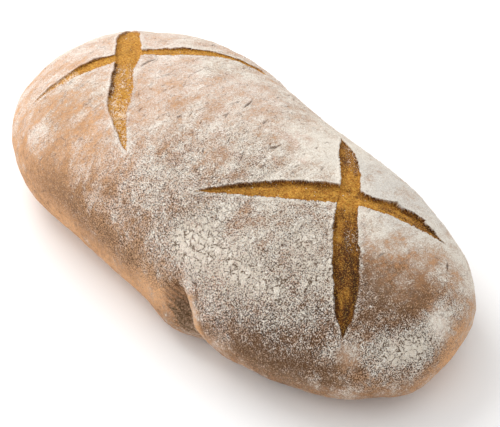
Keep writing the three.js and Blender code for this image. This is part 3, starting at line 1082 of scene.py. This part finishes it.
def powder_colour(g):
    """Thick flour, from pink to cream and grey, with shaded grains and blushes."""
    tint = g.sum((g.creamy, 1.0), (g.blotch, 1.0), (g.other, 0.6), -0.8)
    powder = g.mix(g.step(tint, 0.1, 0.9), PINK_FLOUR, CREAM_FLOUR)
    powder = g.mix(g.step(g.creamy, 0.9, 1.5), powder, GREY_FLOUR)
    powder = g.mix(g.step(g.other, 0.5, 0.34, 0, 0.45), powder, SHADED_FLOUR)
    blush = g.noise(13, 3, 0.6, scale=(1, 1.3, 1))
    blushed = g.times(g.step(blush, 0.52, 0.68, 0, 0.6), g.step(g.speckle, 0, 0.2))
    return g.mix(blushed, powder, BLUSHED_FLOUR)


def crease_lines(g):
    """Thin broken lines across the loaf."""
    bend = g.noise(9, 2, 0.5, scale=(1.8, 0.5, 1))
    line = g.times(g.step(bend, 0.465, 0.5), g.step(bend, 0.535, 0.5))
    broken = g.step(g.medium, 0.48, 0.58, 0, 0.6)
    return g.times(line, broken, g.step(g.speckle, 0, 0.2))


def flour_pits(g):
    """Dark dots where the flour has gaps: the crust shows through, darkened further with painted shade.
    """
    speckled_bake_and_shade = g.times(g.bake, g.speckle)
    dip = g.sum((g.other, 1.0), (g.slow, 0.06), (g.speckle, -0.07), (speckled_bake_and_shade, -0.05))
    strength = g.step(g.speckle, 0, 0.7, 0.28, 1.0)
    return g.times(g.step(dip, 0.47, 0.4), strength, g.step(g.slow, 1.05, 0.7, 0.2, 1))


def clump_cracks(g):
    """Thick flour dries into clumps with cracks between them."""
    thick = g.times(g.step(g.slow, 0.65, 1.0), g.step(g.speckle, 0.5, 0.9))
    return g.times(g.cells(4, 0.6), thick, g.step(g.medium, 0.36, 0.52, 0.2, 1))


def skin_colour(g, creases, pits):
    skin = g.mix(g.mask, bare_colour(g), powder_colour(g))
    skin = g.mix(creases, skin, CREASE)
    flecks = g.times(g.step(g.fine, 0.52, 0.6), g.step(g.speckle, 0, 0.8, 0.45, 0.9))
    skin = g.mix(flecks, skin, g.mix(g.mask, FLECK_ON_CRUST, FLECK_ON_FLOUR))
    coarse_pit = g.mix(g.mask, PIT_IN_CRUST, PIT_IN_FLOUR)
    skin = g.mix(pits, skin, g.mix(g.step(g.speckle, 0.2, 0.6), PALE_PIT, coarse_pit))
    skin = g.mix(clump_cracks(g), skin, CLUMP_CRACK)
    return g.mix(g.times(g.attribute("crack"), 0.8), skin, TEAR)


def crumb_colour(g):
    """Colour of the crumb in the scores, from gold to burnt, with painted shade on one wall and in the
    pores, a painted glint, and loose flour on it.
    """
    strand = g.noise(1.5, 3, 0.65)
    fibre = g.attribute("fibre")
    char_and_shade = g.attribute("char_and_shade")
    crumb_darkness = g.sum((char_and_shade, 1.0), (strand, 1.4), (g.medium, 1.3), (g.fine, 2.2), (fibre, 0.5), -2.5)
    crumb = g.mix(g.step(strand, 0.35, 0.65), OCHRE_CRUMB, GOLD_CRUMB)
    crumb = g.mix(g.step(crumb_darkness, 0.1, 1.0), crumb, TOASTED_AND_SHADED_CRUMB)
    crumb = g.mix(g.step(crumb_darkness, 1.0, 1.5), crumb, BURNT_AND_SHADED_CRUMB)
    # Painted shade in the pores of the crumb
    crumb = g.mix(g.step(g.other, 0.46, 0.38, 0, 0.5), crumb, CRUMB_HOLE_SHADE)
    crumb = g.mix(g.step(g.other, 0.54, 0.62, 0, 0.5), crumb, CRUMB_GLINT)
    dust = g.attribute("dust")
    clumped = g.sum((g.fine, 1.0), (g.medium, 0.5), (fibre, 0.06), (dust, 0.16), -0.25)
    dusted = g.times(g.step(dust, 0, 0.2), g.step(clumped, 0.61, 0.67))
    return g.mix(dusted, crumb, DUST_ON_CRUMB)


def crust_material():
    g = CrustGraph()
    creases = crease_lines(g)
    pits = flour_pits(g)
    base = g.mix(g.attribute("crumb"), skin_colour(g, creases, pits), crumb_colour(g))
    g.put(g.shader.inputs["Base Color"], base)
    lumps = g.bump(g.sum((g.medium, 1.0), (g.streak, 0.6)), 0.8)
    height = g.sum((g.fine, 0.9), (g.mask, 0.3), (creases, -0.7), (pits, -0.3))
    g.put(g.shader.inputs["Normal"], g.bump(height, 0.55, lumps))
    return g.finish(roughness=0.82, specular=0.25)


def flour_material():
    g = Graph("loose_flour")
    tint = g.noise(2.5)
    g.put(g.shader.inputs["Base Color"], g.mix(tint, LOOSE_FLOUR_DARK, LOOSE_FLOUR_LIGHT))
    g.put(g.shader.inputs["Normal"], g.bump(g.noise(0.4, 2, 0.6), 0.08))
    return g.finish(roughness=0.95, specular=0.1)


# Studio: the floor's half width in metres, the world's and the floor's brightness, the camera
FLOOR_HALF = 3
FLOOR_LEVEL = 0.97
WORLD_LEVEL = 0.87
CAMERA_AZIMUTH = math.radians(44.9)
CAMERA_ELEVATION = math.radians(42)
CAMERA_DISTANCE = 1500
CAMERA_LENS = 188.3
CAMERA_SENSOR = 36
AIM_RIGHT = 3.63
AIM_UP = -10.27
LIGHTS_AIM = (0, 0, 40)


def pale_floor():
    mesh = bpy.data.meshes.new("floor")
    turns = ((-1, -1), (1, -1), (1, 1), (-1, 1))
    corners = [(x * FLOOR_HALF, y * FLOOR_HALF, 0) for x, y in turns]
    mesh.from_pydata(corners, [], [(0, 1, 2, 3)])
    pale = Graph("pale_floor")
    pale.shader.inputs["Base Color"].default_value = (FLOOR_LEVEL, FLOOR_LEVEL, FLOOR_LEVEL, 1)
    pale.shader.inputs["Roughness"].default_value = 0.9
    mesh.materials.append(pale.material)
    return link("floor", mesh)


def add_camera(origin):
    right = np.array([math.cos(CAMERA_AZIMUTH), math.sin(CAMERA_AZIMUTH), 0])
    ahead = np.cross((0, 0, 1), right)
    forward = math.cos(CAMERA_ELEVATION) * ahead - np.array([0, 0, math.sin(CAMERA_ELEVATION)])
    up = np.cross(right, forward)
    target = np.array([0, 0, BODY_HEIGHT / 2])
    eye = target - CAMERA_DISTANCE * forward
    aim = target + AIM_RIGHT * right + AIM_UP * up
    data = bpy.data.cameras.new("camera")
    data.lens = CAMERA_LENS
    data.sensor_width = CAMERA_SENSOR
    camera = link("camera", data)
    camera.location = Vector(metres(eye, origin))
    camera.rotation_euler = Vector(aim - eye).to_track_quat("-Z", "Y").to_euler()
    bpy.context.scene.camera = camera


def add_world():
    world = bpy.data.worlds.new("studio")
    world.use_nodes = True
    background = world.node_tree.nodes["Background"]
    background.inputs["Color"].default_value = (1, 1, 1, 1)
    background.inputs["Strength"].default_value = WORLD_LEVEL
    bpy.context.scene.world = world
    bpy.context.scene.view_settings.view_transform = "Standard"


def area_light(name, place, size, power):
    data = bpy.data.lights.new(name, "AREA")
    data.size = size / 1000
    data.energy = power
    light = link(name, data)
    light.location = Vector(place) / 1000
    direction = Vector(LIGHTS_AIM) - Vector(place)
    light.rotation_euler = direction.to_track_quat("-Z", "Y").to_euler()


points, faces = smooth_crust()
origin = base_middle(points)
points, cut, in_score = cut_and_tear(points, faces)
normals = vertex_normals(points, faces)
maps = finish_maps(points, normals, cut, in_score)
loaf = mesh_object("floured_loaf", metres(points, origin), faces, maps, crust_material())
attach(loaf, "root")
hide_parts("loaf")

grain_points, grain_faces = flour_grains(points, faces, normals, maps)
grain_points = metres(grain_points, origin)
grains = mesh_object("flour_grains", grain_points, grain_faces, {}, flour_material())
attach(grains, "root")

floor = pale_floor()
add_camera(origin)
add_world()
area_light("key", (-1000, 60, 1100), 1000, 12.3)
area_light("fill", (-1000, -700, 350), 800, 4.4)
